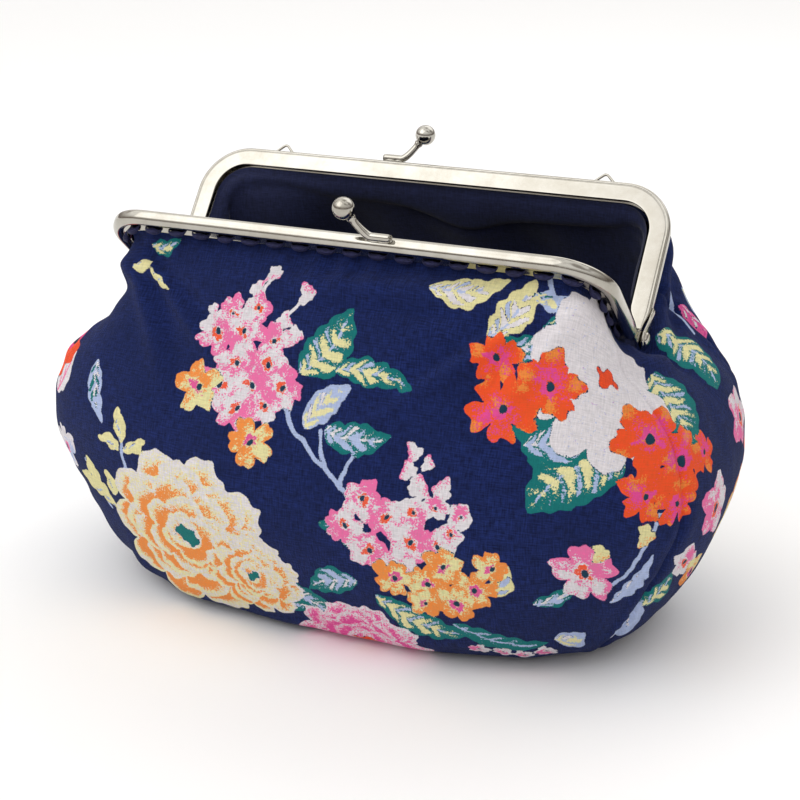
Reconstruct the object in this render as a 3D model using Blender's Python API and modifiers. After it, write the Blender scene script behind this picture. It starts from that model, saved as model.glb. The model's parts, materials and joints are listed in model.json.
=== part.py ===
"""Kiss-lock coin purse: a soft gusseted pouch sewn into a hinged metal frame.

Metres, +Z up. The purse stands on Z = 0, the hinge axis runs along X, and the
front is towards -Y. Each frame half is drawn standing upright on its hinge axis,
as it is when the purse is closed, and its pivot empty then tilts it open.
"""
import math

import bmesh
import bpy
from mathutils import Matrix, Vector

# Hinge axis and how far each frame half stands open at rest
HINGE_HEIGHT = 0.115
FRONT_TILT = math.radians(48.5)
BACK_TILT = math.radians(38.5)

# Frame outline: a U with round corners, standing on the hinge axis
FRAME_HALF_WIDTH = 0.100
FRAME_TOP = 0.0620
FRAME_CORNER = 0.0180
CHANNEL_START = 0.009
CORNER_STEPS = 5

# Channel section: depth from the outer edge, distance out from the closing plane
SHEET = 0.0006
CLOSING_GAP = 0.0002
FLANGE_DEPTH = 0.0076
FLANGE_OUT = 0.0037
FLANGE_SPLAY = 0.0014
BEAD_OUT = 0.0046

# Sewing holes and the thread that runs in and out of them
HOLE_DEPTH = 0.0059
HOLE_OUT = 0.0042
HOLE_LENGTH = 0.0024
HOLE_RADIUS = 0.00095
HOLE_COUNT = 52
HOLE_START = 0.0135
THREAD_RADIUS = 0.0004
THREAD_IN = 0.0026
THREAD_OUT = 0.0055

# Hinge ears and rivets
EAR_THICKNESS = 0.001
EAR_RADIUS = 0.0038
EAR_TAIL_RADIUS = 0.0018
EAR_TAIL_START = 0.0086
EAR_TAIL_END = 0.0145
EAR_TAIL_OUT = 0.0024
FRONT_EAR_X = 0.0986
BACK_EAR_X = 0.0999
RIVET_HOLE_RADIUS = 0.0017
RIVET_SHAFT_RADIUS = 0.0014
RIVET_HEAD_RADIUS = 0.003
RIVET_HEAD_THICKNESS = 0.001

# Clasp: a bent rod on top of each half, with a ball on its end
BALL_RADIUS = 0.0040
BALL_X = 0.0062
BALL_RISE = 0.0121
BALL_OUT = {"front": -0.0026, "back": 0.0}
STEM_RADIUS = 0.00145
STEM_BASE_X = 0.0220
STEM_BEND_X = 0.0150
STEM_OUT = 0.0019
STEM_SLOPE = math.radians(60)
JOINT_GAP = 0.0003

# Chain loops behind the back half
LOOP_X = 0.0690
LOOP_DROP = 0.0026
LOOP_RISE = 0.0082
LOOP_HALF_WIDTH = 0.0086
LOOP_WIRE_RADIUS = 0.0005
LOOP_CORNER = 0.0014
LUG_BORE = 0.0009
LUG_RADIUS = 0.0014
LUG_LENGTH = 0.005

# Pouch plan at each height: height, half width, half depth, squareness
POUCH_SECTIONS = [
    (0.0000, 0.0920, 0.0490, 2.4),
    (0.0025, 0.1010, 0.0560, 2.4),
    (0.0080, 0.1090, 0.0620, 2.5),
    (0.0180, 0.1170, 0.0670, 2.6),
    (0.0360, 0.1270, 0.0715, 2.7),
    (0.0600, 0.1350, 0.0745, 2.8),
    (0.0850, 0.1310, 0.0710, 2.9),
    (0.1000, 0.1240, 0.0655, 3.1),
    (0.1120, 0.1170, 0.0600, 3.3),
]
POUCH_SIDES = 48
OUTER_THICKNESS = 0.0012
SEAM_Y = 0.038
SEAM_GAP = 0.0003

# Lining cup inside the pouch
LINING_GAP = 0.0004
LINING_THICKNESS = 0.0008
LINING_RIM = 0.085

# Upper fabric, sewn into each frame half and reaching down inside the pouch rim.
# Each row: half width, top, corner radius, distance out, turn about the hinge (degrees)
HOOD_START = 0.0120
HOOD_THICKNESS = 0.0006
HOOD_ROWS = [
    (0.0975, 0.0595, 0.0155, 0.0014, 0),
    (0.0911, 0.0531, 0.0110, 0.0014, 0),
    (0.0908, 0.0528, 0.0110, 0.0050, 0),
    (0.0925, 0.0550, 0.0130, 0.0050, 9),
    (0.0905, 0.0545, 0.0200, 0.0050, 20),
    (0.0865, 0.0520, 0.0270, 0.0050, 33),
    (0.0820, 0.0480, 0.0320, 0.0050, 50),
]
LINING_INSET = 0.0014
LINING_ROWS = HOOD_ROWS[1:]

NICKEL = (0.72, 0.70, 0.66, 1.0)
NAVY = (0.032, 0.040, 0.150, 1.0)
LINING_NAVY = (0.010, 0.014, 0.045, 1.0)
THREAD_NAVY = (0.012, 0.010, 0.035, 1.0)


def clear_scene():
    for obj in list(bpy.data.objects):
        bpy.data.objects.remove(obj, do_unlink=True)


def make_collection(name):
    collection = bpy.data.collections.new(name)
    bpy.context.scene.collection.children.link(collection)
    return collection


def make_material(name, color, roughness, metallic):
    material = bpy.data.materials.new(name)
    material.use_nodes = True
    shader = material.node_tree.nodes["Principled BSDF"]
    shader.inputs["Base Color"].default_value = color
    shader.inputs["Roughness"].default_value = roughness
    shader.inputs["Metallic"].default_value = metallic
    return material


def add_mesh_object(name, bm, collection, material=None, parent=None):
    bmesh.ops.recalc_face_normals(bm, faces=bm.faces)
    mesh = bpy.data.meshes.new(name)
    bm.to_mesh(mesh)
    bm.free()
    obj = bpy.data.objects.new(name, mesh)
    collection.objects.link(obj)
    if material is not None:
        mesh.materials.append(material)
    obj.parent = parent
    return obj


def add_pivot(name, collection, matrix):
    """An empty on a joint's axis, which carries the pieces that turn about it."""
    pivot = bpy.data.objects.new(name, None)
    pivot.empty_display_size = 0.01
    collection.objects.link(pivot)
    pivot.matrix_world = matrix
    return pivot


def u_path(half, top, corner, start):
    """Points (x, height) up the left arm, across the top and down the right arm."""
    right_side = []
    for step in range(CORNER_STEPS + 1):
        angle = math.radians(90 * (1 - step / CORNER_STEPS))
        x = half - corner + corner * math.cos(angle)
        height = top - corner + corner * math.sin(angle)
        right_side.append((x, height))
    middle = 0.5 * (start + top - corner)
    right_side.append((half, middle))
    right_side.append((half, start))
    left_side = [(-x, height) for x, height in reversed(right_side)]
    quarter = 0.5 * (half - corner)
    return left_side + [(-quarter, top), (0.0, top), (quarter, top)] + right_side


def loft(rings, close_rings=True, cap=True):
    """A skin over rings of points, with its two end rings filled."""
    bm = bmesh.new()
    rows = [[bm.verts.new(point) for point in ring] for ring in rings]
    sides = len(rows[0]) if close_rings else len(rows[0]) - 1
    for lower, upper in zip(rows, rows[1:]):
        for side in range(sides):
            after = (side + 1) % len(lower)
            bm.faces.new((lower[side], lower[after], upper[after], upper[side]))
    if cap:
        bm.faces.new(rows[0])
        bm.faces.new(rows[-1])
    return bm


def add_boolean(obj, operation, cutter):
    modifier = obj.modifiers.new(operation.title(), "BOOLEAN")
    modifier.operation = operation
    modifier.solver = "EXACT"
    modifier.object = cutter


def add_cutter(name, bm, cutters, parent=None):
    cutter = add_mesh_object(name, bm, cutters, parent=parent)
    cutter.hide_render = True
    cutter.display_type = "WIRE"
    return cutter


# ---------------------------------------------------------------- metal frame

def channel_section():
    """The folded sheet's closed outline, as (depth from outer edge, distance out)."""
    inner = CLOSING_GAP
    return [
        (FLANGE_DEPTH, inner),
        (0.0005, inner),
        (0.0, inner + 0.0005),
        (0.0, 0.0028),
        (0.0006, 0.0040),
        (0.0018, BEAD_OUT),
        (0.0031, BEAD_OUT),
        (0.0040, FLANGE_OUT),
        (FLANGE_DEPTH, FLANGE_OUT + FLANGE_SPLAY),
        (FLANGE_DEPTH, FLANGE_OUT + FLANGE_SPLAY - SHEET),
        (0.0041, FLANGE_OUT - SHEET),
        (0.0012, FLANGE_OUT - SHEET),
        (0.0008, 0.0026),
        (0.0008, inner + SHEET),
        (FLANGE_DEPTH, inner + SHEET),
    ]


def channel_mesh():
    paths = []
    for depth, out in channel_section():
        path = u_path(
            FRAME_HALF_WIDTH - depth, FRAME_TOP - depth, FRAME_CORNER - depth, CHANNEL_START
        )
        paths.append([(x, -out, height) for x, height in path])
    return loft(list(zip(*paths)))


def hole_centres():
    """Evenly spaced points along the perforated flange."""
    path = u_path(
        FRAME_HALF_WIDTH - HOLE_DEPTH,
        FRAME_TOP - HOLE_DEPTH,
        FRAME_CORNER - HOLE_DEPTH,
        HOLE_START,
    )
    corners = [Vector(point) for point in path]
    lengths = [(b - a).length for a, b in zip(corners, corners[1:])]
    spacing = sum(lengths) / (HOLE_COUNT - 1)
    centres = []
    for number in range(HOLE_COUNT):
        remaining = number * spacing
        leg = 0
        while leg < len(lengths) - 1 and remaining > lengths[leg]:
            remaining -= lengths[leg]
            leg += 1
        share = min(1.0, remaining / lengths[leg])
        centres.append(corners[leg].lerp(corners[leg + 1], share))
    return centres


def holes_mesh():
    bm = bmesh.new()
    turn = Matrix.Rotation(math.radians(90), 4, "X")
    for centre in hole_centres():
        place = Matrix.Translation((centre.x, -HOLE_OUT, centre.y))
        bmesh.ops.create_cone(
            bm, cap_ends=True, segments=6, radius1=HOLE_RADIUS, radius2=HOLE_RADIUS,
            depth=HOLE_LENGTH, matrix=place @ turn,
        )
    return bm


def ear_mesh(inner_x):
    """A flat plate from round the rivet up into the channel's arm."""
    reach = math.hypot(EAR_TAIL_START, EAR_TAIL_OUT)
    lean = math.atan2(EAR_TAIL_OUT, EAR_TAIL_START)
    tangent = math.acos((EAR_RADIUS - EAR_TAIL_RADIUS) / reach)
    outline = []
    steps = 12
    first = lean + tangent
    sweep = 2 * math.pi - 2 * tangent
    for step in range(steps + 1):
        angle = first + sweep * step / steps
        outline.append((EAR_RADIUS * math.sin(angle), EAR_RADIUS * math.cos(angle)))
    near = EAR_TAIL_OUT - EAR_TAIL_RADIUS
    far = EAR_TAIL_OUT + EAR_TAIL_RADIUS
    outline += [(near, EAR_TAIL_START), (near, EAR_TAIL_END)]
    outline += [(far, EAR_TAIL_END), (far, EAR_TAIL_START)]
    ring = [(inner_x, -out, height) for out, height in outline]
    other = [(inner_x + EAR_THICKNESS, -out, height) for out, height in outline]
    return loft([ring, other])


def mirrored_in_x(bm):
    bmesh.ops.scale(bm, vec=(-1, 1, 1), verts=bm.verts)
    return bm


def build_frame(name, ear_x, purse, cutters, material, pivot):
    frame = add_mesh_object(name, channel_mesh(), purse, material, pivot)
    left_ear = add_cutter(name + "_ear_left", mirrored_in_x(ear_mesh(ear_x)), cutters, pivot)
    right_ear = add_cutter(name + "_ear_right", ear_mesh(ear_x), cutters, pivot)
    drill = bmesh.new()
    bmesh.ops.create_cone(
        drill, cap_ends=True, segments=16, radius1=RIVET_HOLE_RADIUS,
        radius2=RIVET_HOLE_RADIUS, depth=2.5 * FRAME_HALF_WIDTH,
        matrix=Matrix.Rotation(math.radians(90), 4, "Y"),
    )
    rivet_drill = add_cutter(name + "_rivet_drill", drill, cutters, pivot)
    punch = add_cutter(name + "_punch", holes_mesh(), cutters, pivot)
    add_boolean(frame, "UNION", left_ear)
    add_boolean(frame, "UNION", right_ear)
    add_boolean(frame, "DIFFERENCE", rivet_drill)
    add_boolean(frame, "DIFFERENCE", punch)
    return frame


# ------------------------------------------------------------ wires and rods

def add_wire(name, points, radius, collection, material, parent, cyclic=False, sides=2):
    curve = bpy.data.curves.new(name, "CURVE")
    curve.dimensions = "3D"
    curve.bevel_depth = radius
    curve.bevel_resolution = sides
    curve.use_fill_caps = not cyclic
    spline = curve.splines.new("POLY")
    spline.points.add(len(points) - 1)
    for target, point in zip(spline.points, points):
        target.co = (*point, 1.0)
    spline.use_cyclic_u = cyclic
    curve.materials.append(material)
    wire = bpy.data.objects.new(name, curve)
    collection.objects.link(wire)
    wire.parent = parent
    return wire


def build_stitching(name, purse, material, pivot):
    """One running thread, out through a hole, along the flange and in again."""
    points = []
    for number, centre in enumerate(hole_centres()):
        inside = (centre.x, -THREAD_IN, centre.y)
        outside = (centre.x, -THREAD_OUT, centre.y)
        points += [inside, outside] if number % 2 == 0 else [outside, inside]
    return add_wire(name, points, THREAD_RADIUS, purse, material, pivot, sides=0)


def build_clasp(side, purse, material, pivot):
    ball_centre = Vector((BALL_X, -BALL_OUT[side], FRAME_TOP + BALL_RISE))
    lying = FRAME_TOP + STEM_RADIUS + JOINT_GAP
    slant = (ball_centre.z - lying) / math.sin(STEM_SLOPE)
    sideways = (-STEM_OUT - ball_centre.y) / slant
    approach = Vector((math.cos(STEM_SLOPE), sideways, -math.sin(STEM_SLOPE))).normalized()
    tip = ball_centre + approach * (BALL_RADIUS + JOINT_GAP)
    fall = (lying - tip.z) / approach.z
    elbow = tip + approach * fall
    elbow.y = -STEM_OUT
    bend_start = Vector((STEM_BEND_X, -STEM_OUT, lying))
    points = [Vector((STEM_BASE_X, -STEM_OUT, lying))]
    bend_steps = 7
    for step in range(bend_steps + 1):
        share = step / bend_steps
        first = bend_start.lerp(elbow, share)
        second = elbow.lerp(tip, share)
        points.append(first.lerp(second, share))
    add_wire(side + "_clasp_stem", points, STEM_RADIUS, purse, material, pivot)
    bm = bmesh.new()
    place = Matrix.Translation(ball_centre)
    bmesh.ops.create_uvsphere(bm, u_segments=16, v_segments=10, radius=BALL_RADIUS, matrix=place)
    add_mesh_object(side + "_clasp_ball", bm, purse, material, pivot)


def build_chain_loop(side, x, purse, material, back_pivot):
    """A bent wire triangle that swings in a short tube behind the frame."""
    out = BEAD_OUT + JOINT_GAP + LUG_RADIUS
    height = FRAME_TOP - LOOP_DROP
    axis_place = Matrix.Translation((x, -out, height))
    swing = add_pivot("chain_loop_" + side + "_pivot", purse, back_pivot.matrix_world @ axis_place)
    corners = [
        Vector((-LOOP_HALF_WIDTH, 0, 0)),
        Vector((LOOP_HALF_WIDTH, 0, 0)),
        Vector((0, 0, LOOP_RISE)),
    ]
    points = []
    for number, corner in enumerate(corners):
        before = (corners[number - 1] - corner).normalized()
        after = (corners[(number + 1) % 3] - corner).normalized()
        start = corner + before * LOOP_CORNER
        end = corner + after * LOOP_CORNER
        middle = corner.lerp(start.lerp(end, 0.5), 0.5)
        points += [start, middle, end]
    add_wire("chain_loop_" + side, points, LOOP_WIRE_RADIUS, purse, material, swing, cyclic=True)
    half = LUG_LENGTH / 2
    ring = [(-half, LUG_BORE), (half, LUG_BORE), (half, LUG_RADIUS), (-half, LUG_RADIUS)]
    bm = bmesh.new()
    verts = [bm.verts.new((along, 0, radius)) for along, radius in ring]
    for number, vert in enumerate(verts):
        bm.edges.new((vert, verts[(number + 1) % len(verts)]))
    lug = add_mesh_object("loop_lug_" + side, bm, purse, material, swing)
    lug.parent = back_pivot
    lug.matrix_local = axis_place
    add_turning(lug, 12)


def add_turning(obj, steps):
    screw = obj.modifiers.new("Turn", "SCREW")
    screw.axis = "X"
    screw.steps = steps
    screw.render_steps = steps
    screw.use_merge_vertices = True
    screw.merge_threshold = 0.00001
    screw.use_normal_calculate = True
    screw.use_normal_flip = True


def build_rivet(side, sign, purse, material, hinge):
    """A shaft through both ears, with a flat inner head and a domed outer one."""
    inner = FRONT_EAR_X - JOINT_GAP
    outer = BACK_EAR_X + EAR_THICKNESS + JOINT_GAP
    profile = [
        (inner - RIVET_HEAD_THICKNESS, 0.0),
        (inner - RIVET_HEAD_THICKNESS, RIVET_HEAD_RADIUS),
        (inner, RIVET_HEAD_RADIUS),
        (inner, RIVET_SHAFT_RADIUS),
        (outer, RIVET_SHAFT_RADIUS),
        (outer, RIVET_HEAD_RADIUS),
        (outer + 0.5 * RIVET_HEAD_THICKNESS, 0.85 * RIVET_HEAD_RADIUS),
        (outer + 0.9 * RIVET_HEAD_THICKNESS, 0.5 * RIVET_HEAD_RADIUS),
        (outer + RIVET_HEAD_THICKNESS, 0.0),
    ]
    bm = bmesh.new()
    verts = [bm.verts.new((sign * along, 0, radius)) for along, radius in profile]
    for first, second in zip(verts, verts[1:]):
        bm.edges.new((first, second))
    rivet = add_mesh_object("hinge_rivet_" + side, bm, purse, material, hinge)
    add_turning(rivet, 14)


# --------------------------------------------------------------- soft pieces

def plan_ring(height, half_width, half_depth, squareness):
    ring = []
    for side in range(POUCH_SIDES):
        angle = 2 * math.pi * (side + 0.5) / POUCH_SIDES
        across = abs(math.cos(angle)) ** squareness + abs(math.sin(angle)) ** squareness
        reach = across ** (-1 / squareness)
        x = half_width * reach * math.cos(angle)
        y = half_depth * reach * math.sin(angle)
        ring.append((x, y, height))
    return ring


def cup_mesh(sections, thickness):
    """A closed-bottomed cup whose wall and floor have the given thickness."""
    outside = [plan_ring(*section) for section in sections]
    floor = sections[0][0] + thickness
    inside = []
    for height, half_width, half_depth, squareness in reversed(sections):
        level = max(height, floor)
        inside.append(plan_ring(level, half_width - thickness, half_depth - thickness, squareness))
    return loft(outside + inside)


def slab_mesh(low_y, high_y):
    bm = bmesh.new()
    size = Vector((0.4, high_y - low_y, 0.4))
    place = Matrix.Translation((0, 0.5 * (low_y + high_y), 0.1)) @ Matrix.Diagonal((*size, 1.0))
    bmesh.ops.create_cube(bm, size=1.0, matrix=place)
    return bm


def build_pouch(purse, cutters, material):
    """The outer fabric below the hinge: two panels with the gusset strip between."""
    edge = SEAM_Y + 0.5 * SEAM_GAP
    inner_edge = SEAM_Y - 0.5 * SEAM_GAP
    far = 0.1
    slabs = {
        "outer_front_panel": (-far, -edge),
        "outer_gusset": (-inner_edge, inner_edge),
        "outer_back_panel": (edge, far),
    }
    for name, (low_y, high_y) in slabs.items():
        panel = add_mesh_object(name, cup_mesh(POUCH_SECTIONS, OUTER_THICKNESS), purse, material)
        slab = add_cutter(name + "_slab", slab_mesh(low_y, high_y), cutters)
        add_boolean(panel, "INTERSECT", slab)


def build_lining_cup(purse, material):
    inset = OUTER_THICKNESS + LINING_GAP
    sections = []
    for height, half_width, half_depth, squareness in POUCH_SECTIONS:
        if height <= LINING_RIM:
            level = max(height, inset)
            sections.append((level, half_width - inset, half_depth - inset, squareness))
    sections[0] = (inset, *sections[0][1:])
    sections[1] = (inset + 0.0018, *sections[1][1:])
    add_mesh_object("lining_cup", cup_mesh(sections, LINING_THICKNESS), purse, material)


def hood_mesh(rows, inset):
    rings = []
    for half, top, corner, out, turn in rows:
        path = u_path(half - inset, top - inset, corner - inset, HOOD_START)
        swing = Matrix.Rotation(math.radians(turn), 3, "X")
        rings.append([swing @ Vector((x, -out, height)) for x, height in path])
    return loft(rings, close_rings=False, cap=False)


def build_hood(name, rows, inset, purse, material, pivot):
    hood = add_mesh_object(name, hood_mesh(rows, inset), purse, material, pivot)
    solidify = hood.modifiers.new("Solidify", "SOLIDIFY")
    solidify.thickness = HOOD_THICKNESS
    solidify.offset = 0.0
    solidify.use_even_offset = True


# ------------------------------------------------------------------ assembly

def build_half(side, tilt, spin, ear_x, purse, cutters, materials):
    hinge_place = Matrix.Translation((0, 0, HINGE_HEIGHT))
    tilt_turn = Matrix.Rotation(tilt, 4, "X")
    pivot_matrix = hinge_place @ tilt_turn @ Matrix.Rotation(spin, 4, "Z")
    pivot = add_pivot(side + "_frame_pivot", purse, pivot_matrix)
    nickel = materials["nickel"]
    build_frame(side + "_frame", ear_x, purse, cutters, nickel, pivot)
    build_clasp(side, purse, nickel, pivot)
    build_stitching(side + "_stitching", purse, materials["thread"], pivot)
    build_hood("outer_" + side + "_upper", HOOD_ROWS, 0.0, purse, materials["navy"], pivot)
    lining = materials["lining"]
    build_hood("lining_" + side + "_upper", LINING_ROWS, LINING_INSET, purse, lining, pivot)
    return pivot


def build_purse():
    clear_scene()
    purse = make_collection("coin_purse")
    cutters = make_collection("cutters")
    materials = {
        "nickel": make_material("nickel", NICKEL, 0.18, 1.0),
        "navy": make_material("navy_cotton", NAVY, 0.85, 0.0),
        "lining": make_material("lining_cotton", LINING_NAVY, 0.85, 0.0),
        "thread": make_material("thread", THREAD_NAVY, 0.75, 0.0),
    }
    build_half("front", FRONT_TILT, 0.0, FRONT_EAR_X, purse, cutters, materials)
    back_pivot = build_half(
        "back", -BACK_TILT, math.pi, BACK_EAR_X, purse, cutters, materials
    )
    hinge = add_pivot("hinge_axis", purse, Matrix.Translation((0, 0, HINGE_HEIGHT)))
    build_rivet("left", -1, purse, materials["nickel"], hinge)
    build_rivet("right", 1, purse, materials["nickel"], hinge)
    build_chain_loop("left", LOOP_X, purse, materials["nickel"], back_pivot)
    build_chain_loop("right", -LOOP_X, purse, materials["nickel"], back_pivot)
    build_pouch(purse, cutters, materials["navy"])
    build_lining_cup(purse, materials["lining"])


build_purse()
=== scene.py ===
"""Looks of the kiss-lock coin purse: printed cotton, dark lining, nickel frame, thick thread."""
import json
import math

import bpy
import numpy as np
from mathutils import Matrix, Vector


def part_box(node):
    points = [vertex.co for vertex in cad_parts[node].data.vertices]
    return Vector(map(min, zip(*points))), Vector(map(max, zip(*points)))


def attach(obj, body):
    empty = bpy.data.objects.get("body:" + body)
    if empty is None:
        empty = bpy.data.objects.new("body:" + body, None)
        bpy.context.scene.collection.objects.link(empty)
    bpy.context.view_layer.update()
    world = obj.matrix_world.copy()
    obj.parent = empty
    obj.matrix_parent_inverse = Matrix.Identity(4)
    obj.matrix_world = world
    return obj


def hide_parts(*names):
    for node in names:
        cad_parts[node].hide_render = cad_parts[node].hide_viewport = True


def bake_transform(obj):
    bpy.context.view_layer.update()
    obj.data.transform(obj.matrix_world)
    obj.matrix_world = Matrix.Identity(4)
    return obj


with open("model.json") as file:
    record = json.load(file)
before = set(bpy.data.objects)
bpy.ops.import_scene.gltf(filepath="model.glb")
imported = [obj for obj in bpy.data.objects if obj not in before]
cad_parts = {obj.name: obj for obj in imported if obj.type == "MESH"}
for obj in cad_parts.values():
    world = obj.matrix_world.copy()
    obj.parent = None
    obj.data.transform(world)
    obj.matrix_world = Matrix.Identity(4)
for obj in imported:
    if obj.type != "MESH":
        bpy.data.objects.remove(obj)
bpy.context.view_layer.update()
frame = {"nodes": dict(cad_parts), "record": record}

MM = 0.001
FINE = 1.0

# ---------------------------------------------------------------- the frame's own sizes
JOINTS = {joint["name"]: joint for joint in frame["record"]["behaviour"]["joints"]}
HINGE = np.array(JOINTS["front_frame_swing"]["pos_m"], float)
FRONT_TILT = math.radians(-JOINTS["front_frame_swing"]["range_deg"][0])
BACK_TILT = math.radians(JOINTS["back_frame_swing"]["range_deg"][1])
# The frame's outline, from the hinge axis, and where the fabric starts on it
HALF_WIDTH_MM = 100.0
FRAME_TOP_MM = 62.0
CORNER_MM = 20.0
ARM_END_MM = 3.2
ARM_START = 9.0 * MM
SADDLE_DROP = 6.5 * MM


class Half:
    """One half of the purse. Points are given upright: x, out from the closing plane, up."""

    def __init__(self, name, tilt, sign):
        self.name = name
        self.tilt = tilt
        self.sign = sign
        self.body = name + "_half"

    def place(self, x, out, up):
        x, out, up = np.broadcast_arrays(x, out, up)
        lean_y = up * math.sin(self.tilt) + out * math.cos(self.tilt)
        lean_z = up * math.cos(self.tilt) - out * math.sin(self.tilt)
        return np.stack([x, HINGE[1] + self.sign * lean_y, HINGE[2] + lean_z], axis=-1)

    def turned(self, local):
        """Place (n, 3) rows of x, out, up; the back half is the front one turned round."""
        local = np.asarray(local, float)
        return self.place(-self.sign * local[..., 0], local[..., 1], local[..., 2])


FRONT = Half("front", FRONT_TILT, -1)
BACK = Half("back", BACK_TILT, 1)
HALVES = (FRONT, BACK)


# ---------------------------------------------------------------- helpers

def smooth(low, high, value):
    """0 below low, 1 above high, eased between."""
    share = np.clip((value - low) / (high - low), 0, 1)
    return share * share * (3 - 2 * share)


def hill(value, width):
    """1 at zero, falling away on both sides like a bell."""
    return np.exp(-(value / width) ** 2)


def smooth_table(value, places, levels):
    """A smooth curve through (place, level) pairs."""
    places, levels = np.asarray(places, float), np.asarray(levels, float)
    slopes = np.gradient(levels, places)
    value = np.clip(value, places[0], places[-1])
    leg = np.clip(np.searchsorted(places, value, side="right") - 1, 0, len(places) - 2)
    width = places[leg + 1] - places[leg]
    t = (value - places[leg]) / width
    start = (1 + 2 * t) * (1 - t) ** 2 * levels[leg] + t * (1 - t) ** 2 * width * slopes[leg]
    end = t * t * (3 - 2 * t) * levels[leg + 1] + t * t * (t - 1) * width * slopes[leg + 1]
    return start + end


def bezier(p0, p1, p2, p3, t):
    return (1 - t) ** 3 * p0 + 3 * t * (1 - t) ** 2 * p1 + 3 * t * t * (1 - t) * p2 + t**3 * p3


def lengths_along(points):
    steps = np.linalg.norm(np.diff(points, axis=0), axis=-1)
    zero = np.zeros((1,) + steps.shape[1:])
    return np.concatenate([zero, np.cumsum(steps, axis=0)])


def resample(points, count):
    """The polyline's points, respaced evenly to the given count."""
    along = lengths_along(points)
    wanted = np.linspace(0, along[-1], count)
    axes = range(points.shape[1])
    return np.stack([np.interp(wanted, along, points[:, axis]) for axis in axes], axis=-1)


def grid_faces(rows, columns, wrap=False):
    index = np.arange(rows * columns).reshape(rows, columns)
    if wrap:
        index = np.concatenate([index, index[:, :1]], axis=1)
    a, b = index[:-1, :-1], index[:-1, 1:]
    c, d = index[1:, 1:], index[1:, :-1]
    return np.stack([a, b, c, d], axis=-1).reshape(-1, 4)


def closed_faces(rows, columns, flip=False, first=True):
    """Faces of a grid whose rows are rings, with caps on its last row and its first."""
    caps = [list(range(columns))[::-1]] if first else []
    caps.append([(rows - 1) * columns + k for k in range(columns)])
    caps = [cap[::-1] if flip else cap for cap in caps]
    return grid_faces(rows, columns, wrap=True).tolist() + caps


def mesh_piece(name, points, faces, material):
    mesh = bpy.data.meshes.new(name)
    faces = [list(face) for face in faces]
    mesh.from_pydata(np.asarray(points).reshape(-1, 3).tolist(), [], faces)
    mesh.validate()
    mesh.shade_smooth()
    mesh.materials.append(material)
    piece = bpy.data.objects.new(name, mesh)
    bpy.context.scene.collection.objects.link(piece)
    return piece


def grid_normals(grid):
    down = np.gradient(grid, axis=0)
    across = np.gradient(grid, axis=1)
    normal = np.cross(across, down)
    return normal / np.maximum(np.linalg.norm(normal, axis=-1, keepdims=True), 1e-12)


def tube(points, radii, sides, up=(0.31, 0.52, 0.79), flat=1.0, lobes=0, lobe_depth=0.0):
    """A round or lobed tube along points (n, 3), one radius each; gives points and faces."""
    way = np.gradient(points, axis=0)
    way /= np.linalg.norm(way, axis=1, keepdims=True)
    side = np.asarray(up, float)
    angle = np.linspace(0, 2 * math.pi, sides, endpoint=False)
    rings = []
    for number, (centre, along) in enumerate(zip(points, way)):
        side = side - along * (side @ along)
        side = side / np.linalg.norm(side)
        reach = radii[number] * (1 + lobe_depth * np.cos(lobes * angle + 0.35 * number))
        rings.append(
            centre + np.outer(reach * np.cos(angle) * flat, side)
            + np.outer(reach * np.sin(angle), np.cross(along, side))
        )
    return np.concatenate(rings), closed_faces(len(points), sides, flip=True)


def join_parts(parts):
    """Several (points, faces) pairs as one."""
    points, faces, start = [], [], 0
    for part_points, part_faces in parts:
        part_points = np.asarray(part_points).reshape(-1, 3)
        points.append(part_points)
        faces += [[index + start for index in face] for face in part_faces]
        start += len(part_points)
    return np.concatenate(points), faces


def rounded(points, times):
    """A closed outline with its corners cut away the given number of times."""
    points = np.asarray(points, float)
    for _ in range(times):
        after = np.roll(points, -1, axis=0)
        near, far = points * 0.75 + after * 0.25, points * 0.25 + after * 0.75
        points = np.stack([near, far], axis=1).reshape(-1, points.shape[1])
    return points


# ---------------------------------------------------------------- node helpers

def new_material(name):
    material = bpy.data.materials.new(name)
    material.use_nodes = True
    return material, material.node_tree, material.node_tree.nodes["Principled BSDF"]


def finish_shader(nodes, shader, color, normal, values):
    """Link the colour and the normal, and set the values that are the same all over."""
    nodes.link(color, shader.inputs["Base Color"])
    nodes.link(normal, shader.inputs["Normal"])
    for name, value in values.items():
        shader.inputs[name].default_value = value


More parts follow.
